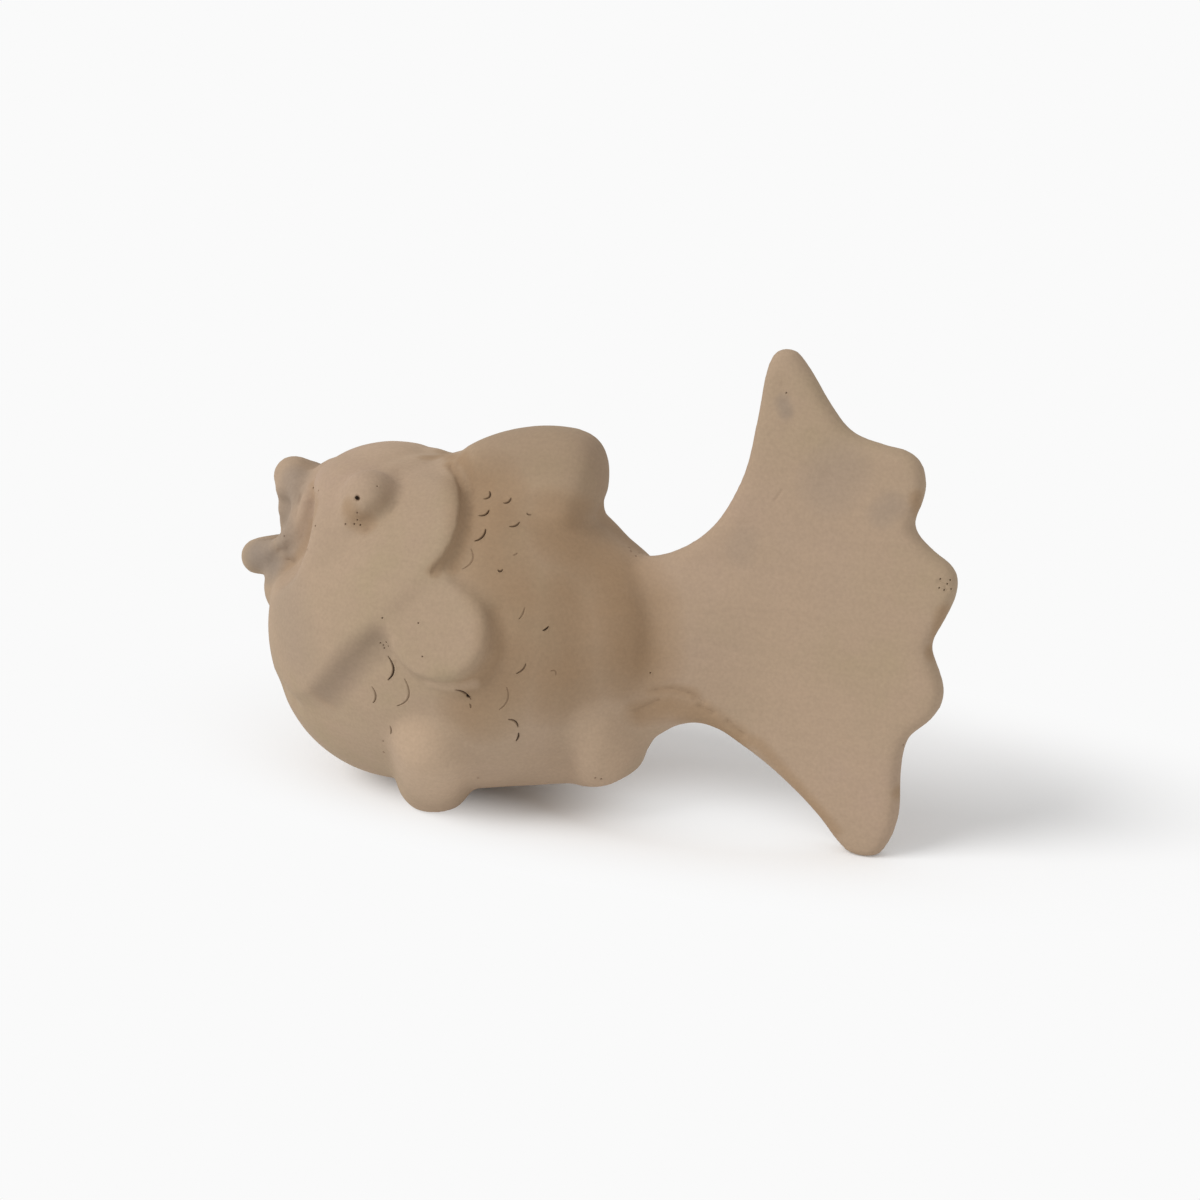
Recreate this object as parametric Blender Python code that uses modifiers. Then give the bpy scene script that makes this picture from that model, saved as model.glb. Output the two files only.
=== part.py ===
"""A fish sculpture, modelled by hand in one piece of clay.

Metres, +Z up. The head points to -X, the tail to +X, and the fish is the same on both sides of Y = 0.
It stands on two short pelvic feet and on the lowest prong of its tail.
Every lump of clay is pressed onto the trunk, an egg that lies with its rear end raised, and places
on the trunk are given from its middle.
"""

from math import cos, radians, sin, sqrt, tan

import bmesh
import bpy
from mathutils import Matrix, Vector

MM = 0.001

# Trunk: an egg, with more clay under its front and behind it, and its underside cut flat on a slope
TRUNK_LENGTH = 174 * MM
TRUNK_WIDTH = 126 * MM
TRUNK_HEIGHT = 142 * MM
TRUNK_TILT = radians(9)
BELLY_CLEARANCE = 2.0 * MM
CHEST_SIZE = (118 * MM, 106 * MM, 112 * MM)
CHEST_FORWARD = 30 * MM
RUMP_SIZE = (112 * MM, 84 * MM, 92 * MM)
RUMP_BACK = 42 * MM
RUMP_RISE = 7 * MM
KEEL_SIZE = (132 * MM, 60 * MM, 60 * MM)
KEEL_BACK = 24 * MM
KEEL_DROP = 40 * MM
UNDERSIDE_SLOPE = radians(8.5)
UNDERSIDE_CLEARANCE = 3 * MM
UNDERSIDE_FORWARD = 24 * MM

# Head: a dome of clay over the front of the trunk, and the skin of the gill covers behind it
HEAD_LENGTH = 94 * MM
HEAD_WIDTH = 106 * MM
HEAD_HEIGHT = 94 * MM
HEAD_FORWARD = 36 * MM
HEAD_RISE = 31 * MM
COVER_THICKNESS = 5 * MM
COVER_RIM = [(-30, 90), (-22, 78), (-6, 72), (11, 68), (20, 60), (23, 51), (20, 42), (13, 35), (4, 26),
             (-6, 14), (-18, 3), (-30, -9), (-45, -22), (-75, -31)]

# Eyes, and the mouth: the face is hollowed in front and on either side, and in the hollow is a snout on a
# muzzle, with two lips that meet at its corners
EYE_RADIUS = 12 * MM
EYE_SINK = 4 * MM
EYE_FORWARD = 26 * MM
EYE_RISE = 62 * MM
FAR_EYE_DROP = 13 * MM
FRONT_HOLLOW_SIZE = (66 * MM, 66 * MM, 66 * MM)
FRONT_HOLLOW_FORWARD = 86 * MM
SIDE_HOLLOW_SIZE = (102 * MM, 98 * MM, 78 * MM)
SIDE_HOLLOW_FORWARD = 100 * MM
SIDE_HOLLOW_OUT = 50 * MM
HOLLOW_RISE = 48 * MM
SNOUT_SIZE = (42 * MM, 26 * MM, 42 * MM)
SNOUT_FORWARD = 71 * MM
SNOUT_RISE = 40 * MM
MUZZLE_SIZE = (42 * MM, 42 * MM, 60 * MM)
MUZZLE_FORWARD = 60 * MM
UPPER_LIP = (84.5, 0, 59)
UPPER_LIP_RADIUS = 9.5 * MM
LOWER_LIP = (105, 0, 20.5)
LOWER_LIP_RADIUS = 8.6 * MM
MOUTH_CORNER = [(73, 13, 52), (74, 15, 43), (85, 12, 30)]
CORNER_RADIUS = 4.6 * MM
CHIN_SIZE = (34 * MM, 40 * MM, 34 * MM)
CHIN_FORWARD = 82 * MM
CHIN_RISE = 9.5 * MM

# Pectoral fins: thick flaps that lean on the trunk, with the root at the gill cover's rim
PECTORAL_THICKNESS = 20 * MM
PECTORAL_ROUNDING = 0.35
PECTORAL_OUTLINE = [(7, 35), (15, 41), (22, 38), (30, 33), (37, 28), (41, 19), (41, 12), (36, 2), (28, -3),
                    (17, -4), (4, 2), (-4, 17), (-2, 25)]
PECTORAL_LEAN = radians(18)
PECTORAL_TOE_IN = radians(4)
PECTORAL_SINK = 3 * MM

# Pelvic feet: stubs that end in a pressed flat sole, and the bell of the anal fin behind them
FOOT_RADIUS = 17 * MM
FOOT_ROOT_RADIUS = 20 * MM
SOLE_PRESS = 3 * MM
FOOT_BACK = -3 * MM
FOOT_SPREAD = 26 * MM
FOOT_ROOT_BACK = 8 * MM
FOOT_ROOT_SPREAD = 43 * MM
FOOT_ROOT_HEIGHT = 40 * MM
ANAL_FIN_SIZE = (34 * MM, 60 * MM, 84 * MM)
ANAL_FIN_BACK = 67 * MM
ANAL_FIN_HEIGHT = 46 * MM

# Dorsal fin: a thick paddle that rises from a mound on the back
DORSAL_THICKNESS = 22 * MM
DORSAL_ROUNDING = 0.7
DORSAL_OUTLINE = [(-14, 60), (-7, 73), (6, 82), (21, 88), (36, 91), (50, 91), (59, 88), (64, 81),
                  (65, 72), (63, 62), (54, 46), (20, 40)]
DORSAL_ROOT_THICKNESS = 54 * MM
DORSAL_ROOT_RISE = 52 * MM
DORSAL_TOP = 91 * MM
DORSAL_THICKEST_BACK = 10 * MM
DORSAL_TAPER = 58 * MM

# Tail: a fan with five prongs, its root thickening into the trunk
TAIL_THICKNESS = 12 * MM
TAIL_ROUNDING = 0.8
TAIL_ROOT_THICKNESS = 44 * MM
TAIL_ROOT_BACK = 66 * MM
TAIL_ROOT_HEIGHT = 84 * MM
TAIL_TAPER = 76 * MM
TAIL_OUTLINE = [(46, 34), (85, 41), (107, 51), (124, 75), (131, 103), (135, 124), (141, 130), (149, 125),
                (160, 109), (169, 99), (182, 95), (195, 91), (199, 80), (195, 64), (203, 55), (212, 48),
                (213, 40), (209, 29), (204, 17), (208, 6), (210, -3), (206, -12), (197, -21), (194, -36),
                (194, -56), (189, -70), (182, -76), (173, -73), (162, -61), (150, -50), (130, -36),
                (111, -27), (101, -29), (84, -39), (50, -40)]

# Surface: the grain of the kneaded clay, how often each group is rubbed, and the triangles that are left
KNEAD_GRAIN = 1.8 * MM
TRUNK_PASSES = 30
HOOD_PASSES = 12
FIN_PASSES = 16
TAIL_PASSES = 2
LAST_PASSES = 5
TRIANGLES = 10800
WELD = 0.01 * MM
BALL_SEGMENTS = 64
BALL_RINGS = 40

TRUNK_SEMI = Vector((TRUNK_LENGTH / 2, TRUNK_WIDTH / 2, TRUNK_HEIGHT / 2))
TRUNK_DEPTH = sqrt((TRUNK_SEMI.x * sin(TRUNK_TILT)) ** 2 + (TRUNK_SEMI.z * cos(TRUNK_TILT)) ** 2)
MIDDLE = Vector((0, 0, BELLY_CLEARANCE + TRUNK_DEPTH))
HEAD_SIZE = Vector((HEAD_LENGTH, HEAD_WIDTH, HEAD_HEIGHT))
HEAD_MIDDLE = MIDDLE + Vector((-HEAD_FORWARD, 0, HEAD_RISE))


def at(back, side, up):
    """A place by its distances behind, beside and above the middle of the trunk."""
    return MIDDLE + Vector((back, side, up))


def underside(back):
    """The height of the flat underside that far behind the middle."""
    return UNDERSIDE_CLEARANCE + (back + UNDERSIDE_FORWARD) * tan(UNDERSIDE_SLOPE)


def new_object(name, mesh):
    thing = bpy.data.objects.new(name, mesh)
    bpy.context.scene.collection.objects.link(thing)
    return thing


def ball(name, centre, size, tilt=0.0):
    """A ball of clay pressed to a length, a width and a height, tipped up behind by tilt."""
    mesh = bpy.data.meshes.new(name)
    shape = bmesh.new()
    tipped = Matrix.Translation(centre) @ Matrix.Rotation(-tilt, 4, "Y")
    place = tipped @ Matrix.Diagonal((*(Vector(size) / 2), 1))
    bmesh.ops.create_uvsphere(shape, u_segments=BALL_SEGMENTS, v_segments=BALL_RINGS, radius=1, matrix=place)
    shape.to_mesh(mesh)
    shape.free()
    return new_object(name, mesh)


def as_mesh(curve_object):
    """The curve's own solid as a mesh object, its caps welded on."""
    depsgraph = bpy.context.evaluated_depsgraph_get()
    mesh = bpy.data.meshes.new_from_object(curve_object.evaluated_get(depsgraph))
    mesh.transform(curve_object.matrix_world)
    shape = bmesh.new()
    shape.from_mesh(mesh)
    bmesh.ops.remove_doubles(shape, verts=shape.verts, dist=WELD)
    shape.to_mesh(mesh)
    shape.free()
    name = curve_object.name
    bpy.data.objects.remove(curve_object)
    return new_object(name, mesh)


def smooth_spline(curve, points, radii=None, closed=False):
    """One Bezier spline through the points, with automatic handles."""
    spline = curve.splines.new("BEZIER")
    spline.bezier_points.add(len(points) - 1)
    spline.use_cyclic_u = closed
    for place, knot in enumerate(spline.bezier_points):
        knot.co = points[place]
        knot.handle_left_type = knot.handle_right_type = "AUTO"
        knot.radius = radii[place] if radii else 1.0


def roll(name, points, radii):
    """A roll of clay along the points, as thick at each as its radius, with a ball at either end."""
    curve = bpy.data.curves.new(name, "CURVE")
    curve.dimensions = "3D"
    curve.bevel_depth = 1
    curve.bevel_resolution = 6
    curve.use_fill_caps = True
    smooth_spline(curve, points, radii)
    lumps = [as_mesh(new_object(name, curve))]
    for end in (0, -1):
        lumps.append(ball(name + "_end", points[end], [2 * radii[end]] * 3))
    return lumps


def inset(outline, distance):
    """The points of a clockwise outline, each moved inwards."""
    moved = []
    for place, point in enumerate(outline):
        along = outline[(place + 1) % len(outline)] - outline[place - 1]
        moved.append(point + Vector((along.y, -along.x, 0)).normalized() * distance)
    return moved


def slab(name, outline, thickness, rounding, place):
    """A flat pancake of clay, upright in its place. Its edge is rounded over that share of the thickness."""
    curve = bpy.data.curves.new(name, "CURVE")
    curve.dimensions = "2D"
    curve.fill_mode = "BOTH"
    curve.bevel_depth = rounding * thickness / 2
    curve.extrude = thickness / 2 - curve.bevel_depth
    curve.bevel_resolution = 4
    points = [Vector((back, up, 0)) * MM for back, up in outline]
    smooth_spline(curve, inset(points, curve.bevel_depth), closed=True)
    thing = new_object(name, curve)
    thing.matrix_world = place @ Matrix.Rotation(radians(90), 4, "X")
    bpy.context.view_layer.update()
    return as_mesh(thing)


def join(lumps):
    """One mesh object that holds all the lumps."""
    shape = bmesh.new()
    for lump in lumps:
        shape.from_mesh(lump.data)
        bpy.data.objects.remove(lump)
    mesh = bpy.data.meshes.new("clay")
    shape.to_mesh(mesh)
    shape.free()
    return new_object("clay", mesh)


def make_trunk():
    """The trunk with its chest, rump, keel and anal fin, cut flat underneath."""
    chest_drop = TRUNK_DEPTH - CHEST_SIZE[2] / 2
    lumps = [
        ball("trunk", MIDDLE, (TRUNK_LENGTH, TRUNK_WIDTH, TRUNK_HEIGHT), TRUNK_TILT),
        ball("chest", at(-CHEST_FORWARD, 0, -chest_drop), CHEST_SIZE),
        ball("rump", at(RUMP_BACK, 0, RUMP_RISE), RUMP_SIZE),
        ball("keel", at(KEEL_BACK, 0, -KEEL_DROP), KEEL_SIZE, UNDERSIDE_SLOPE),
        ball("anal_fin", Vector((ANAL_FIN_BACK, 0, ANAL_FIN_HEIGHT)), ANAL_FIN_SIZE),
    ]
    trunk = knead(hollow_face(knead(join(lumps), 0)), TRUNK_PASSES)
    slope = Vector((-sin(UNDERSIDE_SLOPE), 0, cos(UNDERSIDE_SLOPE)))
    cut_below(trunk, Vector((0, 0, underside(0))), slope)
    return [trunk]


def make_hood():
    """The head's dome, and behind it the trunk's own form grown by the cover's thickness, up to the rim."""
    dome = ball("dome", HEAD_MIDDLE, HEAD_SIZE)
    grown = Vector((2, 2, 2)) * COVER_THICKNESS
    cover = ball("cover", MIDDLE, 2 * TRUNK_SEMI + grown, TRUNK_TILT)
    front = [(-TRUNK_LENGTH / MM, COVER_RIM[-1][1]), (-TRUNK_LENGTH / MM, COVER_RIM[0][1])]
    curve = bpy.data.curves.new("cover_outline", "CURVE")
    curve.dimensions = "2D"
    curve.fill_mode = "BOTH"
    curve.extrude = TRUNK_WIDTH
    smooth_spline(curve, [(back * MM, up * MM, 0) for back, up in COVER_RIM + front], closed=True)
    outline = new_object("cover_outline", curve)
    outline.matrix_world = Matrix.Translation(MIDDLE) @ Matrix.Rotation(radians(90), 4, "X")
    bpy.context.view_layer.update()
    cutter = as_mesh(outline)
    cut = cover.modifiers.new("rim", "BOOLEAN")
    cut.operation = "INTERSECT"
    cut.solver = "EXACT"
    cut.object = cutter
    cover = as_mesh(cover)
    bpy.data.objects.remove(cutter)
    return [knead(hollow_face(knead(join([dome, cover]), 0)), HOOD_PASSES)]


def hollow_face(clay):
    """Hollows the clay round the mouth, in front and on either side."""
    places = [
        (-FRONT_HOLLOW_FORWARD, 0, FRONT_HOLLOW_SIZE),
        (-SIDE_HOLLOW_FORWARD, -SIDE_HOLLOW_OUT, SIDE_HOLLOW_SIZE),
        (-SIDE_HOLLOW_FORWARD, SIDE_HOLLOW_OUT, SIDE_HOLLOW_SIZE),
    ]
    for back, side, size in places:
        thumb = ball("thumb", at(back, side, HOLLOW_RISE), size)
        cut = clay.modifiers.new("hollow", "BOOLEAN")
        cut.operation = "DIFFERENCE"
        cut.solver = "EXACT"
        cut.object = thumb
        clay = as_mesh(clay)
        bpy.data.objects.remove(thumb)
    return clay


def make_eyes():
    """Balls sunk into the head's dome. The eye on the far side sits lower."""
    lumps = []
    for side, rise in ((-1, EYE_RISE), (1, EYE_RISE - FAR_EYE_DROP)):
        back = HEAD_FORWARD - EYE_FORWARD
        up = rise - HEAD_RISE
        left = 1 - (back / HEAD_SIZE.x * 2) ** 2 - (up / HEAD_SIZE.z * 2) ** 2
        out = HEAD_SIZE.y / 2 * sqrt(max(left, 0)) - EYE_SINK
        lumps.append(ball("eye", HEAD_MIDDLE + Vector((back, side * out, up)), [2 * EYE_RADIUS] * 3))
    return lumps


def make_mouth():
    """A snout, a muzzle and a chin, and on either side a roll from lip to lip round the mouth's corner."""
    lumps = [
        ball("snout", at(-SNOUT_FORWARD, 0, SNOUT_RISE), SNOUT_SIZE),
        ball("muzzle", at(-MUZZLE_FORWARD, 0, SNOUT_RISE), MUZZLE_SIZE),
        ball("chin", at(-CHIN_FORWARD, 0, CHIN_RISE), CHIN_SIZE),
    ]
    rope = [UPPER_LIP] + MOUTH_CORNER + [LOWER_LIP]
    radii = [UPPER_LIP_RADIUS] + [CORNER_RADIUS] * len(MOUTH_CORNER) + [LOWER_LIP_RADIUS]
    for side in (-1, 1):
        points = [at(-forward * MM, side * out * MM, up * MM) for forward, out, up in rope]
        lumps += roll("lips", points, radii)
    return lumps


def make_pectorals():
    """One flap on either side, half sunk in the trunk, its top and its rear edge leaning inwards."""
    lumps = []
    for side in (-1, 1):
        place = Matrix.Translation(at(0, side * (TRUNK_SEMI.y - PECTORAL_SINK), 0))
        turned = place @ Matrix.Rotation(-side * PECTORAL_TOE_IN, 4, "Z")
        leaning = turned @ Matrix.Rotation(side * PECTORAL_LEAN, 4, "X")
        lumps.append(slab("pectoral", PECTORAL_OUTLINE, PECTORAL_THICKNESS, PECTORAL_ROUNDING, leaning))
    return lumps


def make_feet():
    lumps = []
    for side in (-1, 1):
        sole = Vector((FOOT_BACK, side * FOOT_SPREAD, FOOT_RADIUS - SOLE_PRESS))
        root = Vector((FOOT_ROOT_BACK, side * FOOT_ROOT_SPREAD, FOOT_ROOT_HEIGHT))
        lumps += roll("foot", [root, sole], [FOOT_ROOT_RADIUS, FOOT_RADIUS])
    return lumps


def make_dorsal_fin():
    """The paddle, thicker towards its root, but not at its rear edge."""
    fin = slab("dorsal_fin", DORSAL_OUTLINE, DORSAL_THICKNESS, DORSAL_ROUNDING, Matrix.Translation(MIDDLE))
    fin = knead(fin, 0)
    more = DORSAL_ROOT_THICKNESS / DORSAL_THICKNESS - 1
    for vertex in fin.data.vertices:
        low = (DORSAL_TOP - (vertex.co.z - MIDDLE.z)) / (DORSAL_TOP - DORSAL_ROOT_RISE)
        rear = (vertex.co.x - DORSAL_THICKEST_BACK) / DORSAL_TAPER
        vertex.co.y *= 1 + more * min(max(low, 0), 1) * sqrt(1 - min(max(rear, 0), 1) ** 2)
    return [knead(fin, FIN_PASSES)]


def make_tail():
    """The fan, with a swelling along its middle that grows towards the trunk."""
    tail = slab("tail", TAIL_OUTLINE, TAIL_THICKNESS, TAIL_ROUNDING, Matrix.Translation(MIDDLE))
    tail = knead(tail, TAIL_PASSES)
    more = TAIL_ROOT_THICKNESS / TAIL_THICKNESS - 1
    for vertex in tail.data.vertices:
        away = min(max((vertex.co.x - TAIL_ROOT_BACK) / TAIL_TAPER, 0), 1)
        off = min(abs(vertex.co.z - MIDDLE.z) / TAIL_ROOT_HEIGHT * 2, 1)
        vertex.co.y *= 1 + more * (1 - away) ** 2 * (1 + 2 * away) * (1 - off ** 2)
    return [tail]


def knead(clay, passes):
    """Fuses the lumps into one closed skin, and rounds its seams by rubbing it that many times."""
    fuse = clay.modifiers.new("fuse", "REMESH")
    fuse.mode = "VOXEL"
    fuse.voxel_size = KNEAD_GRAIN
    rub = clay.modifiers.new("rub", "SMOOTH")
    rub.factor = 0.5
    rub.iterations = passes
    return as_mesh(clay)


def thin_out(clay):
    """Cuts the skin down to few triangles, most of them left where it bends."""
    faces = sum(len(face.vertices) - 2 for face in clay.data.polygons)
    fewer = clay.modifiers.new("fewer", "DECIMATE")
    fewer.ratio = TRIANGLES / faces
    return as_mesh(clay)


def cut_below(clay, point, up):
    """Cuts off what lies below a plane and closes the cut with a flat face."""
    shape = bmesh.new()
    shape.from_mesh(clay.data)
    everything = shape.verts[:] + shape.edges[:] + shape.faces[:]
    cut = bmesh.ops.bisect_plane(shape, geom=everything, plane_co=point, plane_no=up, clear_inner=True)
    rim = [part for part in cut["geom_cut"] if isinstance(part, bmesh.types.BMEdge)]
    bmesh.ops.holes_fill(shape, edges=rim)
    bmesh.ops.triangulate(shape, faces=shape.faces)
    shape.to_mesh(clay.data)
    shape.free()


def stand_on_origin(clay):
    """Moves the clay so that the origin is under the middle of its box."""
    across = [vertex.co.x for vertex in clay.data.vertices]
    clay.data.transform(Matrix.Translation((-(min(across) + max(across)) / 2, 0, 0)))


def clay_finish():
    finish = bpy.data.materials.new("clay")
    finish.use_nodes = True
    shader = finish.node_tree.nodes["Principled BSDF"]
    shader.inputs["Base Color"].default_value = (0.37, 0.28, 0.2, 1)
    shader.inputs["Roughness"].default_value = 0.9
    shader.inputs["Metallic"].default_value = 0
    return finish


def build():
    for thing in list(bpy.data.objects):
        bpy.data.objects.remove(thing)
    lumps = make_trunk() + make_hood() + make_eyes() + make_mouth()
    lumps += make_pectorals() + make_feet() + make_dorsal_fin() + make_tail()
    clay = thin_out(knead(join(lumps), LAST_PASSES))
    cut_below(clay, Vector(), Vector((0, 0, 1)))
    stand_on_origin(clay)
    clay.name = "fish"
    clay.data.name = "fish"
    clay.data.materials.append(clay_finish())
    clay.data.shade_smooth()
    sculpture = bpy.data.collections.new("fish_sculpture")
    bpy.context.scene.collection.children.link(sculpture)
    bpy.context.scene.collection.objects.unlink(clay)
    sculpture.objects.link(clay)


build()
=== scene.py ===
import math

import bmesh
import bpy
import numpy as np
from mathutils import Matrix, Vector
from mathutils.bvhtree import BVHTree
from mathutils.kdtree import KDTree


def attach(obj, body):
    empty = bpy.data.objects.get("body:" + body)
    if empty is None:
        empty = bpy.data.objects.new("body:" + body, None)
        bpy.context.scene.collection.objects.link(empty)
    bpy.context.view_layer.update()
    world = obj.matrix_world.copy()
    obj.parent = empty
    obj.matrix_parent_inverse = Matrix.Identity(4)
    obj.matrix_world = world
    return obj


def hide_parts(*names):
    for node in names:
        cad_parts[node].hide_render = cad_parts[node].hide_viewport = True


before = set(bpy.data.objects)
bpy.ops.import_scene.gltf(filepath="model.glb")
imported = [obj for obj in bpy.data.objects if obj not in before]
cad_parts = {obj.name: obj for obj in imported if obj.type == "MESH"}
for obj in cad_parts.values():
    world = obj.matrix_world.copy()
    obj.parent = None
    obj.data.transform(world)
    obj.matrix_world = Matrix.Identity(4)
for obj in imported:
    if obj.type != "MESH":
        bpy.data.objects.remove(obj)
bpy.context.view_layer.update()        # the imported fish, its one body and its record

# Camera: it stands a little to the right of the fish's side and looks down at it, as the photographer did.
# Places on the fish that were read from the photograph are given by the pixel, and found through this camera.
VIEW_AZIMUTH = math.radians(24)
VIEW_ELEVATION = math.radians(16)
VIEW_DISTANCE = 0.8
VIEW_TARGET = Vector((0.0132, 0, 0.0929))
FOCAL_LENGTH = 57.6
SENSOR = 36
PHOTO_SIDE = 1200

towards_camera = Vector((
    math.sin(VIEW_AZIMUTH) * math.cos(VIEW_ELEVATION),
    -math.cos(VIEW_AZIMUTH) * math.cos(VIEW_ELEVATION),
    math.sin(VIEW_ELEVATION),
))
camera = bpy.data.objects.new("camera", bpy.data.cameras.new("camera"))
camera.data.sensor_width = SENSOR
camera.data.lens = FOCAL_LENGTH
camera.location = VIEW_TARGET + towards_camera * VIEW_DISTANCE
camera.rotation_mode = "QUATERNION"
camera.rotation_quaternion = (-towards_camera).to_track_quat("-Z", "Y")
bpy.context.scene.collection.objects.link(camera)
bpy.context.scene.camera = camera


def line_of_sight(pixel):
    """The direction from the camera through a pixel of the photograph."""
    right = (pixel[0] / PHOTO_SIDE - 0.5) * SENSOR
    up = (0.5 - pixel[1] / PHOTO_SIDE) * SENSOR
    return (camera.rotation_quaternion @ Vector((right, up, -FOCAL_LENGTH))).normalized()


# Clay: the whole fish is one lump with limbs pressed on, rubbed smooth with a wet finger before it dried.
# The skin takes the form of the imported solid, at an even grain, with its facets rubbed out.
MM = 0.001
SEAM = 0.01 * MM
SKIN_GRAIN = 1.65 * MM
SKIN_RUBS = 12


def mesh_of(thing):
    """The thing's mesh with its modifiers applied."""
    depsgraph = bpy.context.evaluated_depsgraph_get()
    return bpy.data.meshes.new_from_object(thing.evaluated_get(depsgraph))


def points_of(mesh):
    points = np.empty(3 * len(mesh.vertices))
    mesh.vertices.foreach_get("co", points)
    return points.reshape(-1, 3)


def normals_of(mesh):
    normals = np.empty(3 * len(mesh.vertices))
    mesh.vertex_normals.foreach_get("vector", normals)
    return normals.reshape(-1, 3)


def move_points(mesh, points):
    mesh.vertices.foreach_set("co", points.ravel())
    mesh.update()


def rub(mesh, times, strokes=(0.5, -0.52)):
    """Rubs bumps flat without thinning the clay: each stroke in is followed by a slightly longer one out."""
    points = points_of(mesh)
    ends = np.empty(2 * len(mesh.edges), dtype=int)
    mesh.edges.foreach_get("vertices", ends)
    one, other = ends[::2], ends[1::2]
    count = np.bincount(ends, minlength=len(points))[:, None]
    for stroke in strokes * times:
        around = np.empty_like(points)
        for axis in range(3):
            sums = np.bincount(one, points[other, axis], len(points))
            around[:, axis] = sums + np.bincount(other, points[one, axis], len(points))
        points += stroke * (around / count - points)
    move_points(mesh, points)


solid = bmesh.new()
solid.from_mesh(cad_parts["fish"].data)
bmesh.ops.remove_doubles(solid, verts=solid.verts, dist=SEAM)
fish = bpy.data.objects.new("clay_fish", bpy.data.meshes.new("clay_fish"))
solid.to_mesh(fish.data)
solid.free()
bpy.context.scene.collection.objects.link(fish)
finer = fish.modifiers.new("finer", "SUBSURF")
finer.levels = finer.render_levels = 1
grain = fish.modifiers.new("grain", "REMESH")
grain.mode = "VOXEL"
grain.voxel_size = SKIN_GRAIN
skin = mesh_of(fish)
fish.modifiers.clear()
fish.data = skin
rub(skin, SKIN_RUBS)


# Gill covers: the hood of clay ends behind the eyes in a thick rim that was pressed down onto the trunk.
# Below, the cheek has a lower edge of its own, with a hollow where the finger pushed it in.
HOOD_TOP = [(398, 466), (420, 459), (438, 457), (450, 457)]
RIM = [(450, 464), (457, 473), (463, 487), (464, 505), (461, 526), (454, 545), (445, 560), (434, 571)]
RIM_FOOT = [(x + 6, y + 1) for x, y in RIM]
RIM_BACK = [(462, 458), (471, 470), (475, 488), (474, 507), (470, 528), (462, 549), (454, 566)]
RIM_FRONT = [(420, 458), (438, 466), (450, 478), (455, 492), (453, 510), (449, 526), (440, 544), (428, 560)]
CHEEK_CREASE = [(381, 636), (370, 646), (357, 655), (338, 676), (322, 697), (306, 706)]
CHEEK_HOLLOW = [(378, 641), (368, 648)]
CHEEK_NOTCH = [(270, 664), (282, 688), (291, 698)]
PATH_STEP = 0.5
NARROW = 3.6 * MM
NICK_GRAIN = 0.45 * MM
HALVINGS = 3


def feel():
    """The skin as it is now, for finding places on it."""
    corners = [point.co for point in fish.data.vertices]
    return BVHTree.FromPolygons(corners, [face.vertices for face in fish.data.polygons])


def on_clay(pixel):
    """The place on the skin that is seen at a pixel, or None beside the fish."""
    return felt.ray_cast(camera.location, line_of_sight(pixel))[0]


def traced(pixels):
    """Places on the clay along a line of pixels, a half pixel apart."""
    places = []
    for start, end in zip(pixels, pixels[1:]):
        steps = max(1, round(math.dist(start, end) / PATH_STEP))
        for step in range(steps + 1):
            share = step / steps
            place = on_clay([a + (b - a) * share for a, b in zip(start, end)])
            if place:
                places.append(place)
    return places


def both_sides(places, drop=0):
    """The places, and the same ones on the far side of the fish, there lower by the drop."""
    return places + [felt.find_nearest((place.x, -place.y, place.z - drop))[0] for place in places]


def close_to(places, reach):
    """The numbers of the skin's points within reach of the places, and how far off each is."""
    points = points_of(fish.data)
    low = np.min(places, axis=0) - reach
    high = np.max(places, axis=0) + reach
    tree = KDTree(len(places))
    for number, place in enumerate(places):
        tree.insert(place, number)
    tree.balance()
    found = np.flatnonzero(np.all((points > low) & (points < high), axis=1))
    off = np.array([tree.find(points[number])[2] for number in found])
    return found[off < reach], off[off < reach]


def refine(places, reach, grain):
    """Splits the skin's edges near the places in two, and again, while they are longer than the grain."""
    for halving in range(HALVINGS):
        near = set(close_to(places, reach + SKIN_GRAIN / 2 ** halving)[0].tolist())
        shape = bmesh.new()
        shape.from_mesh(fish.data)
        shape.verts.ensure_lookup_table()
        long_edges = [
            edge for number in near for edge in shape.verts[number].link_edges
            if edge.calc_length() > grain and edge.other_vert(shape.verts[number]).index in near
        ]
        if long_edges:
            bmesh.ops.subdivide_edges(shape, edges=list(set(long_edges)), cuts=1, use_grid_fill=True)
            wide = [face for face in shape.faces if len(face.verts) > 4]
            bmesh.ops.triangulate(shape, faces=wide)
        shape.to_mesh(fish.data)
        shape.free()
        if not long_edges:
            return


def press(pixels, width, depth, crisp=False, drop=0):
    """Draws a tool of that width along the line, on both sides of the fish. A depth below 0 swells."""
    places = both_sides(traced(pixels), drop)
    if width < NARROW:
        refine(places, width, max(width / 4, NICK_GRAIN))
    found, off = close_to(places, width)
    points = points_of(fish.data)
    share = 1 - off / width
    profile = share ** 2 if crisp else share ** 2 * (3 - 2 * share)
    points[found] -= normals_of(fish.data)[found] * (depth * profile)[:, None]
    move_points(fish.data, points)


def soften(pixels, width, times):
    """Rubs the clay flat along the pixels' line, on both sides."""
    found, off = close_to(both_sides(traced(pixels)), width)
    before = points_of(fish.data)
    rub(fish.data, times, (0.5,))
    points = points_of(fish.data)
    share = np.zeros((len(points), 1))
    share[found, 0] = 1 - (off / width) ** 2
    move_points(fish.data, before + (points - before) * share)


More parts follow.
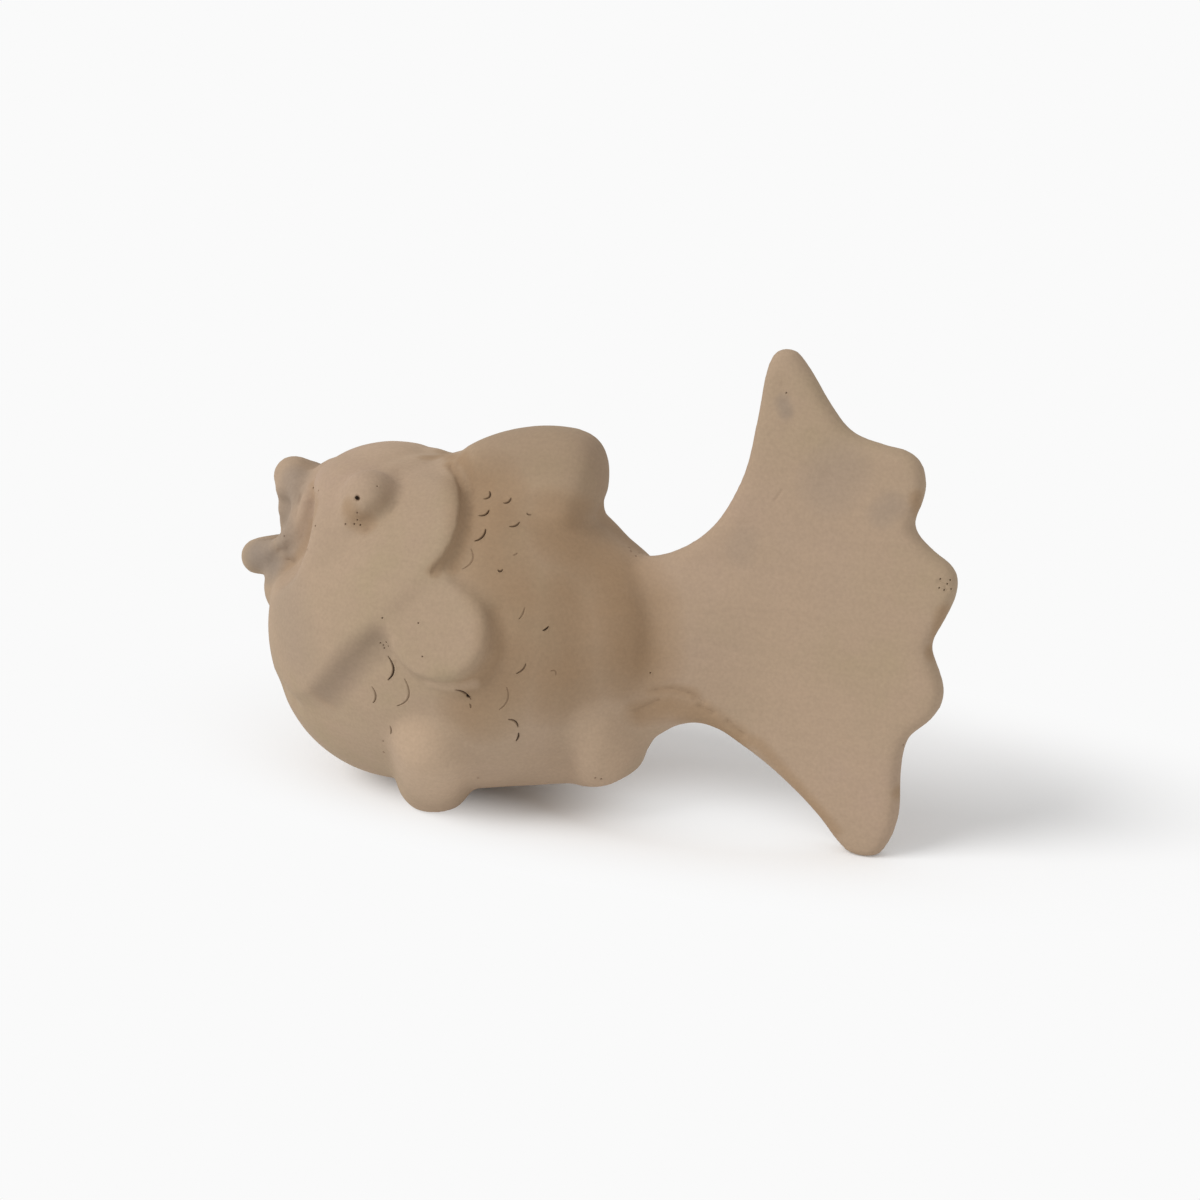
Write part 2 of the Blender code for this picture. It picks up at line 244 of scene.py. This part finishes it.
felt = feel()
soften(HOOD_TOP, 9 * MM, 60)
press(HOOD_TOP, 7 * MM, -0.7 * MM)
felt = feel()
press(RIM_BACK, 10 * MM, 1.3 * MM)
press(RIM_FOOT, 4.5 * MM, 1.5 * MM)
press(RIM_FRONT, 8 * MM, -0.4 * MM)
press(RIM, 3 * MM, 1.4 * MM, crisp=True)
soften(CHEEK_CREASE, 8 * MM, 16)
press(CHEEK_HOLLOW, 7 * MM, 0.5 * MM)
press(CHEEK_NOTCH, 9 * MM, 1.8 * MM)


# Mouth: the muzzle is pulled out of the face, with a fat upper and lower lip that roll into one another.
# A finger ran along the muzzle's rear side and left a broad groove against the cheek.
MUZZLE_GROOVE = [(313, 484), (316, 505), (312, 526), (306, 546), (293, 561), (280, 571)]
MUZZLE_RIDGE = [(305, 500), (301, 514), (295, 530), (283, 546)]
GROOVE_FLOOR = [(309, 490), (309, 505), (306, 522), (300, 539), (292, 551), (286, 558)]
LIP_FRONT = [(283, 492), (285, 499), (285, 508)]
MOUTH_CORNER = [(286, 558), (292, 558), (296, 554)]
LIP_HOLLOW = [(283, 505), (283, 520), (281, 531)]
MUZZLE_FILL = [(303, 549), (296, 557), (288, 562)]
LIP_BULB = [(295, 474), (299, 480)]
LIP_FOLD = [(279, 534), (286, 537)]

felt = feel()
soften(MUZZLE_GROOVE, 10 * MM, 18)
press(MUZZLE_FILL, 8 * MM, -2.2 * MM)
press(LIP_BULB, 10 * MM, -1.0 * MM)
felt = feel()
press(GROOVE_FLOOR, 5.5 * MM, -1.8 * MM)
press(LIP_FRONT, 8 * MM, -2.6 * MM)
felt = feel()
soften(MUZZLE_GROOVE, 8 * MM, 12)
press(MUZZLE_RIDGE, 5 * MM, -1.4 * MM)
press(LIP_HOLLOW, 4 * MM, 0.4 * MM)
soften(MOUTH_CORNER, 7 * MM, 50)
press(MOUTH_CORNER, 5 * MM, -0.8 * MM)
press(LIP_FOLD, 1.6 * MM, 0.6 * MM, crisp=True)


# Eyes: balls of clay smeared down at the front, each with a pupil poked in by a stick. The far eye sits lower
# than the near one, because it doesn't show above the head.
EYE_SMEAR = [(372, 499), (360, 510), (350, 517)]
EYE_REAR = [(398, 470), (402, 484), (399, 498), (391, 511), (379, 521), (367, 528)]
FAR_EYE_DROP = 13 * MM
PUPIL = [(356.7, 497.6), (357.3, 498.4)]

press(EYE_SMEAR, 10 * MM, -2.2 * MM, drop=FAR_EYE_DROP)
press(EYE_REAR, 4.5 * MM, 0.7 * MM, drop=FAR_EYE_DROP)
felt = feel()
press(PUPIL, 1.5 * MM, 2.6 * MM, drop=FAR_EYE_DROP)


# Fins: flaps of clay with flat faces, pressed onto the trunk. Round each foot of a flap the trunk is dented,
# and the clay that a pectoral fin pushed out lies under it as a low ridge.
PECTORAL_FOOT = [(497, 612), (501, 632), (498, 655), (484, 676), (466, 688)]
RIDGE = [(430, 684), (446, 687), (462, 687), (474, 684)]
DORSAL_CREASE = [(532, 504), (552, 507), (575, 510), (596, 514)]
ANAL_FIN_FRONT = [(577, 706), (568, 722), (562, 742), (564, 764)]

press(PECTORAL_FOOT, 6 * MM, 0.8 * MM)
press(RIDGE, 3.5 * MM, -0.7 * MM)
press(DORSAL_CREASE, 7 * MM, 0.8 * MM)
press(ANAL_FIN_FRONT, 8 * MM, 1.0 * MM)


# Tail: a thick slab of clay, patted flat. Its root has folds where it was bent up, and its face has a few
# dents, a scratch and a chip.
ROOT_VALLEY = [(657, 560), (660, 590), (660, 625), (656, 660)]
ROOT_CREASE = [(655, 690), (672, 689), (690, 694), (704, 703)]
ROOT_FOLDS = [[(636, 711), (648, 705), (658, 701)], [(700, 706), (713, 713)], [(728, 722), (743, 735)]]
WRINKLES = [[(700, 642), (722, 647), (738, 655)], [(704, 654), (722, 660)]]
DENTS = [[(781, 385), (783, 398)], [(826, 478), (828, 480)], [(792, 420), (793, 422)]]
SCRATCH = [(782, 490), (779, 495), (775, 500)]
CHIP = [(940, 582), (945, 585), (947, 590)]

press(ROOT_VALLEY, 12 * MM, 0.6 * MM)
press(ROOT_CREASE, 3.4 * MM, 1.0 * MM, crisp=True)
for fold in ROOT_FOLDS:
    press(fold, 2.4 * MM, 0.9 * MM, crisp=True)
for wrinkle in WRINKLES:
    press(wrinkle, 2.4 * MM, 0.15 * MM)
for dent in DENTS:
    press(dent, 5 * MM, 0.5 * MM)
press(SCRATCH, 1.2 * MM, 0.4 * MM, crisp=True)
press(CHIP, 2.4 * MM, 0.7 * MM, crisp=True)


# Scales: nicks pressed into the clay with the end of a small tube, here and there behind the head, and the
# pits of a stick's tip. The far side has the same ones, each a little out of its place. A nick is given by
# the pixels of its start, its middle and its end and by its depth in millimetres, and a pit by its pixel.
SCALE_NICKS = [
    ((489.5, 491.5), (490, 496), (483.5, 499), 0.9),
    ((511, 498), (508.5, 502), (503.6, 503), 0.7),
    ((489, 510), (486.5, 514), (479, 515.5), 1.3),
    ((519.6, 522), (517, 525), (509.6, 526.5), 0.7),
    ((527, 513), (529, 514.5), (531, 514.5), 0.6),
    ((485.5, 529), (484, 535), (475, 541), 1.0),
    ((471, 549), (473, 559), (462.5, 569), 0.35),
    ((498, 570), (500, 571.5), (502.5, 569.5), 0.7),
    ((513.5, 555), (515.6, 554.6), (517.5, 553), 0.3),
    ((524.5, 608), (523, 614), (519, 619), 0.35),
    ((543, 630.5), (546, 629.2), (548.5, 626.5), 0.9),
    ((525.8, 664), (522.5, 670), (516.5, 673.5), 0.6),
    ((551, 671), (556, 671.5), (556, 675), 0.3),
    ((388.2, 656.5), (393.5, 667.6), (388, 680), 1.15),
    ((404.6, 679), (410, 692), (397, 706), 0.45),
    ((372, 687), (375.6, 695), (373, 703), 0.55),
    ((455, 690), (463, 692), (471, 699), 0.8),
    ((466.5, 695), (468.4, 696.6), (470, 697), 1.5),
    ((469.5, 704), (470.7, 706), (470.5, 708), 0.5),
    ((506.7, 687.5), (508.6, 697), (499.5, 709.5), 0.35),
    ((508.5, 719.5), (514.5, 721), (518, 727), 0.8),
    ((518.4, 733), (518.4, 737), (516, 741), 0.9),
    ((390, 726), (390.9, 730), (390.4, 734), 0.7),
]
PITS = [
    (382, 618), (380, 643), (383, 645), (386, 642), (384, 648), (388, 646), (418, 623), (422, 656.6),
    (383, 741), (383.6, 752), (478, 778), (345, 524), (354, 524), (357, 520), (360, 525), (357, 513),
    (377, 486), (313, 488), (318, 491), (315, 526), (307, 550), (284, 536), (650, 673), (631, 551),
    (636, 556), (903, 745), (944, 590), (950, 580), (940, 579), (947, 584), (951, 589), (939, 588),
    (786, 393), (595, 778), (601, 779),
]
NICK_WIDTH = 0.6 * MM
PIT_PIXELS = 0.4
PIT_DEPTH = 0.7
NICK_ENDS = 0.4
NICK_LIP = 0.14
LIP_MIDDLE = 1.25
LIP_SPREAD = 0.4
SPOTS_PER_NICK = 25
FAR_SIDE_SHIFT = 2 * MM


class Wire:
    """A node's output. A sum written with it becomes a Math node in its tree."""

    def __init__(self, maker, socket):
        self.maker = maker
        self.socket = socket

    def __getitem__(self, name):
        return Wire(self.maker, self.maker.find(self.socket.node.outputs, name))

    def __add__(self, other):
        return self.maker.maths("ADD", self, other)

    def __sub__(self, other):
        return self.maker.maths("SUBTRACT", self, other)

    def __rsub__(self, other):
        return self.maker.maths("SUBTRACT", other, self)

    def __mul__(self, other):
        return self.maker.maths("MULTIPLY", self, other)

    def __truediv__(self, other):
        return self.maker.maths("DIVIDE", self, other)

    __radd__ = __add__
    __rmul__ = __mul__


class Maker:
    """Makes the nodes of one tree."""

    def __init__(self, tree):
        self.tree = tree

    def find(self, sockets, name):
        """A socket by its place, its identifier or its name."""
        if isinstance(name, int):
            return sockets[name]
        return next(socket for socket in sockets if name in (socket.identifier, socket.name))

    def node(self, kind, settings, sockets):
        """A node of that kind. Its settings are made first, then its sockets get values or wires."""
        made = self.tree.nodes.new(kind)
        for name, value in settings.items():
            setattr(made, name, value)
        for name, value in sockets.items():
            self.feed(self.find(made.inputs, name), value)
        return Wire(self, made.outputs[0]) if made.outputs else None

    def maths(self, operation, *terms):
        return self.node("ShaderNodeMath", {"operation": operation}, dict(enumerate(terms)))

    def feed(self, socket, value):
        if isinstance(value, Wire):
            self.tree.links.new(value.socket, socket)
        else:
            socket.default_value = value


def nick_frame(start, middle, end, mirror):
    """The place, turn and size of the arc through three places on the clay."""
    start, middle, end = [Vector((place.x, mirror * place.y, place.z)) for place in (start, middle, end)]
    chord = start - end
    bulge = middle - (start + end) / 2
    bulge -= chord * (bulge.dot(chord) / chord.length_squared)
    across = bulge.normalized()
    along = chord.normalized()
    turn = Matrix((across, along, across.cross(along))).transposed().to_euler()
    return (start + end) / 2, turn, (2 * bulge.length, chord.length, 1)


def named(kind, name):
    return nicking.node("GeometryNodeInputNamedAttribute", {"data_type": kind}, {"Name": name})["Attribute"]


chance = np.random.default_rng(7)
felt = feel()
nicks = [(*map(on_clay, pixels), depth) for *pixels, depth in SCALE_NICKS]
for x, y in PITS:
    ends = [on_clay((x + dx, y + dy)) for dx, dy in ((0, -PIT_PIXELS), (PIT_PIXELS / 2, 0), (0, PIT_PIXELS))]
    nicks.append((*ends, PIT_DEPTH))
nicks = [nick for nick in nicks if None not in nick]
cuts = []
for start, middle, end, depth in nicks:
    cuts.append((*nick_frame(start, middle, end, 1), depth))
    place, turn, size = nick_frame(start, middle, end, -1)
    shift = Vector((chance.normal(), 0, chance.normal())) * FAR_SIDE_SHIFT
    cuts.append((felt.find_nearest(place + shift)[0], turn, size, depth))
spots = []
for place, turn, size, depth in cuts:
    for share in np.linspace(-0.5, 0.5, SPOTS_PER_NICK):
        reach = Vector((size[0] * (0.5 - 2 * share ** 2), size[1] * share, 0))
        reach.rotate(turn)
        spots.append(place + reach)
refine([spot for spot in spots if spot.y > 0], NICK_WIDTH, NICK_GRAIN)
refine([spot for spot in spots if spot.y < 0], NICK_WIDTH, NICK_GRAIN / 2)

marks = bpy.data.meshes.new("marks")
marks.from_pydata([place for place, turn, size, depth in cuts], [], [])
for name, kind, field, values in (
    ("turn", "FLOAT_VECTOR", "vector", [tuple(turn) for place, turn, size, depth in cuts]),
    ("size", "FLOAT_VECTOR", "vector", [size for place, turn, size, depth in cuts]),
    ("depth", "FLOAT", "value", [depth * MM for place, turn, size, depth in cuts]),
):
    marks.attributes.new(name, kind, "POINT").data.foreach_set(field, np.ravel(values))
marks_holder = bpy.data.objects.new("marks", marks)

nicking_tree = bpy.data.node_groups.new("nick_the_clay", "GeometryNodeTree")
inputs = {}
kinds = {"Skin": "Geometry", "Marks": "Object", "Width": "Float", "Lip": "Float", "Clay": "Material"}
for name, kind in kinds.items():
    inputs[name] = nicking_tree.interface.new_socket(name, in_out="INPUT", socket_type="NodeSocket" + kind)
nicking_tree.interface.new_socket("Nicked Skin", in_out="OUTPUT", socket_type="NodeSocketGeometry")
nicking = Maker(nicking_tree)
given = nicking.node("NodeGroupInput", {}, {})
places = nicking.node("GeometryNodeObjectInfo", {}, {"Object": given["Marks"]})["Geometry"]
arc = nicking.node("GeometryNodeCurveQuadraticBezier", {}, {
    "Resolution": 10, "Start": (0, 0.5, 0), "Middle": (1, 0, 0), "End": (0, -0.5, 0)})
arcs = nicking.node("GeometryNodeInstanceOnPoints", {}, {
    "Points": places, "Instance": arc,
    "Rotation": named("FLOAT_VECTOR", "turn"), "Scale": named("FLOAT_VECTOR", "size")})
arcs = nicking.node("GeometryNodeRealizeInstances", {}, {"Geometry": arcs})
along = nicking.node("GeometryNodeSplineParameter", {}, {})["Factor"]
arcs = nicking.node("GeometryNodeStoreNamedAttribute", {"domain": "POINT"}, {
    "Geometry": arcs, "Name": "along", "Value": along})
arcs = nicking.node("GeometryNodeCurveToMesh", {}, {"Curve": arcs})
far = nicking.node("GeometryNodeProximity", {"target_element": "EDGES"}, {"Geometry": arcs})["Distance"]
number = nicking.node("GeometryNodeSampleNearest", {"domain": "POINT"}, {"Geometry": arcs})
depth, along = [
    nicking.node("GeometryNodeSampleIndex", {"data_type": "FLOAT", "domain": "POINT"}, {
        "Geometry": arcs, "Value": named("FLOAT", name), "Index": number})
    for name in ("depth", "along")
]
far = far / (given["Width"] * (NICK_ENDS + 4 * (1 - NICK_ENDS) * along * (1 - along)))
share = nicking.maths("MAXIMUM", 1 - far, 0)
groove = share * share * (3 - 2 * share)
off = (far - LIP_MIDDLE) * (1 / LIP_SPREAD)
rise = nicking.maths("MAXIMUM", 1 - off * off, 0) * given["Lip"]
normal = nicking.node("GeometryNodeInputNormal", {}, {})
push = depth * (rise - groove)
shift = nicking.node("ShaderNodeVectorMath", {"operation": "SCALE"}, {0: normal, "Scale": push})
nicked = nicking.node("GeometryNodeStoreNamedAttribute", {"domain": "POINT"}, {
    "Geometry": given["Skin"], "Name": "nick", "Value": groove * depth / MM})
nicked = nicking.node("GeometryNodeSetPosition", {}, {"Geometry": nicked, "Offset": shift})
nicked = nicking.node("GeometryNodeRealizeInstances", {}, {"Geometry": nicked})
nicked = nicking.node("GeometryNodeSetMaterial", {}, {"Geometry": nicked, "Material": given["Clay"]})
nicking.node("NodeGroupOutput", {}, {"Nicked Skin": nicked})

clay = bpy.data.materials.new("fired_clay")
nicks_cut = fish.modifiers.new("nicks", "NODES")
nicks_cut.node_group = nicking_tree
for name, value in (("Marks", marks_holder), ("Width", NICK_WIDTH), ("Lip", NICK_LIP), ("Clay", clay)):
    nicks_cut[inputs[name].identifier] = value
skin = mesh_of(fish)
fish.modifiers.clear()
fish.data = skin
bpy.data.objects.remove(marks_holder)

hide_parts("fish")
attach(fish, "root")


# Finish: fired clay without a glaze, buff brown with pinker and yellower patches, dull, and slightly grainy.
# Painted shade darkens the hollows, the scale nicks and the pupils. Brown and grey washes paint shade along
# the creases, rims, fins' feet and tail's edges, and make darker patches on the trunk, chest, cheek, dorsal
# fin and tail. A painted highlight makes the clay paler on the front foot, the anal fin, the ridge under the
# pectoral fin and the top of the head.
# A wash is given by its line of pixels, its width in millimetres and its strength, and near the eyes by the
# far eye's drop.
# Of these colours, the hollow, brown, grey and nick ones carry painted shade, wholly or in part, and the
# palest one is a painted highlight.
CLAY = (0.376, 0.271, 0.186, 1)
CLAY_HOLLOW_SHADE = (0.16, 0.098, 0.058, 1)
CLAY_PINK = (0.395, 0.28, 0.203, 1)
CLAY_YELLOW = (0.37, 0.277, 0.176, 1)
CLAY_BROWN_AND_SHADE = (0.315, 0.208, 0.122, 1)
CLAY_GREY_AND_SHADE = (0.25, 0.198, 0.155, 1)
CLAY_HIGHLIGHT = (0.46, 0.333, 0.228, 1)
NICK_SHADOW = (0.03, 0.018, 0.011, 1)
# Painted shade, in part: the brown washes along the gill rims, the muzzle groove, the cheek crease, the
# pectoral fin's foot, under the eyes, at the tail's root and along the tail's edges darken where shade falls;
# the wide ones on the trunk and the dorsal fin make those darker brown.
BROWN_WASH_AND_SHADE = [
    ([(490, 478), (498, 560), (520, 600)], 22, 0.9),
    ([(520, 600), (515, 670), (480, 708)], 20, 0.8),
    ([(560, 530), (600, 565), (628, 610), (632, 660)], 24, 1.0),
    ([(565, 600), (565, 680)], 24, 0.9),
    ([(500, 440), (550, 445), (600, 462)], 22, 0.55),
    (RIM, 4, 0.8),
    (RIM_BACK, 6, 0.9),
    (MUZZLE_GROOVE, 3, 0.5),
    ([(441, 451), (453, 458)], 4, 0.8),
    (PECTORAL_FOOT, 7, 0.9),
    ([(378, 640), (350, 662), (325, 695)], 9, 0.5),
    ([(640, 712), (670, 706), (700, 716), (735, 738)], 9, 0.9),
    ([(650, 691), (672, 690), (692, 695)], 5, 0.7),
    ([(715, 722), (760, 745), (800, 790), (835, 830)], 4, 0.7),
    ([(917, 497), (923, 532)], 4, 0.8),
    ([(944, 612), (931, 652)], 4.5, 0.9),
    ([(909, 742), (900, 790)], 4, 0.7),
    ([(348, 508), (354, 518), (366, 523)], 6, 0.75, FAR_EYE_DROP),
]
# Painted shade, in part: the grey washes in the mouth and under the lower lip darken where shade falls; the
# others make the cheek, chest, dorsal fin and tail greyer.
GREY_WASH_AND_SHADE = [
    ([(377, 641), (352, 661), (327, 692)], 10, 0.4),
    ([(256, 556), (270, 560)], 13, 0.9),
    ([(292, 478), (288, 510), (282, 545)], 10, 0.6),
    ([(285, 600), (295, 640)], 20, 0.25),
    ([(510, 436), (560, 440), (598, 458)], 20, 0.25),
    ([(840, 468), (828, 486)], 15, 0.28),
    ([(783, 402), (786, 412)], 4, 0.5),
    ([(882, 514), (892, 505)], 7, 0.35),
    ([(745, 540), (740, 552)], 8, 0.2),
]
# Painted highlight: the clay is made paler on the front foot, the anal fin, the ridge under the pectoral fin
# and the top of the head, where the light falls most.
PAINTED_HIGHLIGHTS = [
    (RIDGE, 3, 0.6),
    ([(425, 755), (430, 785)], 20, 0.9),
    ([(600, 730), (606, 762)], 16, 0.8),
    ([(380, 447), (395, 452)], 16, 0.5),
]
# Painted shade: the pupils are darkened to nearly black.
PUPIL_SHADE = [(PUPIL, 1.1, 1, FAR_EYE_DROP)]
HOLLOW_RUBS = 7
HOLLOW_FULL = 0.3 * MM
PATCH_SIZE = 55 * MM
CLOUD_SIZE = 9 * MM
GRIT_SIZE = 0.7 * MM
SMEAR_SIZE = 1.6 * MM
SMEAR_STRETCH = (9, 3, 1)
BUMP_HEIGHT = 0.25 * MM


def grain_noise(size, detail=3.0, stretch=(1, 1, 1)):
    """Noise from 0 to 1 whose lumps are about that size, stretched along the axes."""
    scale = tuple(0.5 / size / share for share in stretch)
    place = finish.node("ShaderNodeMapping", {}, {"Vector": spot, "Scale": scale})
    return finish.node("ShaderNodeTexNoise", {}, {"Vector": place, "Scale": 1.0, "Detail": detail})["Fac"]


def blend(share, one, other):
    return finish.node("ShaderNodeMix", {"data_type": "RGBA"}, {
        "Factor_Float": share, "A_Color": one, "B_Color": other})["Result_Color"]


def spread(value, low, high):
    """The value stretched so that low becomes 0 and high becomes 1."""
    return finish.node("ShaderNodeMapRange", {}, {"Value": value, "From Min": low, "From Max": high})


# How far each point lies down in a hollow, kept for the painted shade in the hollows.
before = points_of(skin)
rub(skin, HOLLOW_RUBS)
rubbed = points_of(skin)
move_points(skin, before)
hollows = ((rubbed - before) * normals_of(skin)).sum(1) / HOLLOW_FULL
skin.attributes.new("hollow", "FLOAT", "POINT").data.foreach_set("value", hollows)

# The washes are painted into attributes of the skin: the brown and grey ones partly painted shade, the paler
# one a painted highlight, the pupil one painted shade.
washes = {"brown": BROWN_WASH_AND_SHADE, "grey": GREY_WASH_AND_SHADE, "painted_highlight": PAINTED_HIGHLIGHTS, "pupil": PUPIL_SHADE}
for name, lines in washes.items():
    wash = np.zeros(len(skin.vertices))
    for pixels, width, strength, *drop in lines:
        found, off = close_to(both_sides(traced(pixels), *drop), width * MM)
        wash[found] = np.maximum(wash[found], strength * (1 - (off / (width * MM)) ** 2))
    skin.attributes.new(name, "FLOAT", "POINT").data.foreach_set("value", wash)

clay.use_nodes = True
finish = Maker(clay.node_tree)
surface = clay.node_tree.nodes["Principled BSDF"]
spot = finish.node("ShaderNodeTexCoord", {}, {})["Object"]
hollow, nick, brown, grey, painted_highlight, pupil = [
    finish.node("ShaderNodeAttribute", {"attribute_name": name}, {})["Fac"]
    for name in ("hollow", "nick", "brown", "grey", "painted_highlight", "pupil")
]
patches = grain_noise(PATCH_SIZE)
clouds = grain_noise(CLOUD_SIZE, 4.0)
grit = grain_noise(GRIT_SIZE, 2.0)
smears = grain_noise(SMEAR_SIZE, 3.0, SMEAR_STRETCH)
tone = blend(spread(patches, 0.35, 0.65), CLAY_YELLOW, CLAY_PINK)
tone = blend(spread(clouds, 0.3, 0.7), tone, CLAY)
uneven = 0.7 + 0.6 * clouds
# Brown and grey washes, partly painted shade, then the painted highlight.
tone = blend(brown * uneven, tone, CLAY_BROWN_AND_SHADE)
tone = blend(grey * uneven, tone, CLAY_GREY_AND_SHADE)
tone = blend(painted_highlight, tone, CLAY_HIGHLIGHT)
light = 1 + 0.10 * (clouds - 0.5) + 0.22 * (grit - 0.5) + 0.08 * (smears - 0.5) + 0.12 * (patches - 0.5)
tone = finish.node("ShaderNodeVectorMath", {"operation": "SCALE"}, {0: tone, "Scale": light})
# Painted shade: the clay darkens in the hollows and the scale nicks, and turns nearly black deep in the nicks
# and in the pupils.
shaded = finish.maths("MAXIMUM", spread(hollow, 0.1, 1.0) * 0.75, spread(nick, 0.05, 0.4) * 0.6)
tone = blend(shaded, tone, CLAY_HOLLOW_SHADE)
dark = finish.maths("MAXIMUM", 0.9 * spread(nick, 0.35, 0.95), spread(pupil, 0.2, 0.6))
tone = blend(dark, tone, NICK_SHADOW)
finish.feed(surface.inputs["Base Color"], tone)
finish.feed(surface.inputs["Roughness"], 0.78 + 0.14 * clouds)
surface.inputs["Specular IOR Level"].default_value = 0.3
relief = 0.55 * grit + 0.5 * smears + 1.2 * clouds
bump = finish.node("ShaderNodeBump", {}, {"Strength": 0.35, "Distance": BUMP_HEIGHT, "Height": relief})
finish.feed(surface.inputs["Normal"], bump)
skin.shade_smooth()


# Studio: a white floor that runs on out of sight, a soft key lamp from the front left and an even white room.
# In an oval round the fish the floor is matte and takes the shadow, and beyond that it glows as the backdrop
# does. Under the tail's root, where the real floor is nearly white, some of that glow is mixed in.
FLOOR_SIDE = 8
FLOOR_WHITE = 0.95
BACKDROP_WHITE = 0.956
SHADOW_MIDDLE = (0.02, 0.075, 0)
SHADOW_REACH = (0.32, 0.15, 1)
LIT_MIDDLE = (0.062, 0.01, 0)
LIT_REACH = (0.09, 0.065, 1)
UNDER_GLOW = 0.65
KEY_FROM = Vector((-0.5, -0.55, 0.67)).normalized()
KEY_STRENGTH = 1.6
KEY_SOFTNESS = math.radians(34)
ROOM_STRENGTH = 0.66


def faded(middle, reach, inside, outside, start):
    """A value for the floor that starts to change at a share of the oval's reach, and is done at its rim."""
    moved = sheet.node("ShaderNodeVectorMath", {"operation": "SUBTRACT"}, {0: place, 1: middle})
    shrunk = sheet.node("ShaderNodeVectorMath", {"operation": "DIVIDE"}, {0: moved, 1: reach})
    off = sheet.node("ShaderNodeVectorMath", {"operation": "LENGTH"}, {0: shrunk})["Value"]
    return sheet.node("ShaderNodeMapRange", {"interpolation_type": "SMOOTHSTEP"}, {
        "Value": off, "From Min": start, "From Max": 1, "To Min": inside, "To Max": outside})


floor_mesh = bpy.data.meshes.new("floor")
half = FLOOR_SIDE / 2
corners = [(-half, -half, 0), (half, -half, 0), (half, half, 0), (-half, half, 0)]
floor_mesh.from_pydata(corners, [], [(0, 1, 2, 3)])
floor = bpy.data.objects.new("floor", floor_mesh)
bpy.context.scene.collection.objects.link(floor)
paper = bpy.data.materials.new("white_paper")
paper.use_nodes = True
sheet = Maker(paper.node_tree)
matte = paper.node_tree.nodes["Principled BSDF"]
matte.inputs["Base Color"].default_value = (FLOOR_WHITE,) * 3 + (1,)
matte.inputs["Roughness"].default_value = 1
matte.inputs["Specular IOR Level"].default_value = 0
glow = sheet.node("ShaderNodeEmission", {}, {"Color": (1, 1, 1, 1), "Strength": BACKDROP_WHITE})
place = sheet.node("ShaderNodeTexCoord", {}, {})["Object"]
beyond = faded(SHADOW_MIDDLE, SHADOW_REACH, 0, 1, 0.5)
share = sheet.maths("MAXIMUM", beyond, faded(LIT_MIDDLE, LIT_REACH, UNDER_GLOW, 0, 0))
mixed = sheet.node("ShaderNodeMixShader", {}, {0: share, 1: Wire(sheet, matte.outputs[0]), 2: glow})
sheet.feed(paper.node_tree.nodes["Material Output"].inputs["Surface"], mixed)
floor_mesh.materials.append(paper)

key = bpy.data.objects.new("key_lamp", bpy.data.lights.new("key_lamp", "SUN"))
key.data.energy = KEY_STRENGTH
key.data.angle = KEY_SOFTNESS
key.rotation_mode = "QUATERNION"
key.rotation_quaternion = KEY_FROM.to_track_quat("Z", "Y")
bpy.context.scene.collection.objects.link(key)

room = bpy.data.worlds.new("room")
room.use_nodes = True
bpy.context.scene.world = room
studio = Maker(room.node_tree)
backdrop = room.node_tree.nodes["Background"]
backdrop.inputs["Color"].default_value = (1, 1, 1, 1)
ray = studio.node("ShaderNodeLightPath", {}, {})
mirrored = studio.maths("MAXIMUM", ray["Is Glossy Ray"], ray["Is Transmission Ray"])
seen = studio.maths("MAXIMUM", ray["Is Camera Ray"], mirrored)
studio.feed(backdrop.inputs["Strength"], ROOM_STRENGTH + (BACKDROP_WHITE - ROOM_STRENGTH) * seen)

bpy.context.scene.view_settings.view_transform = "Standard"
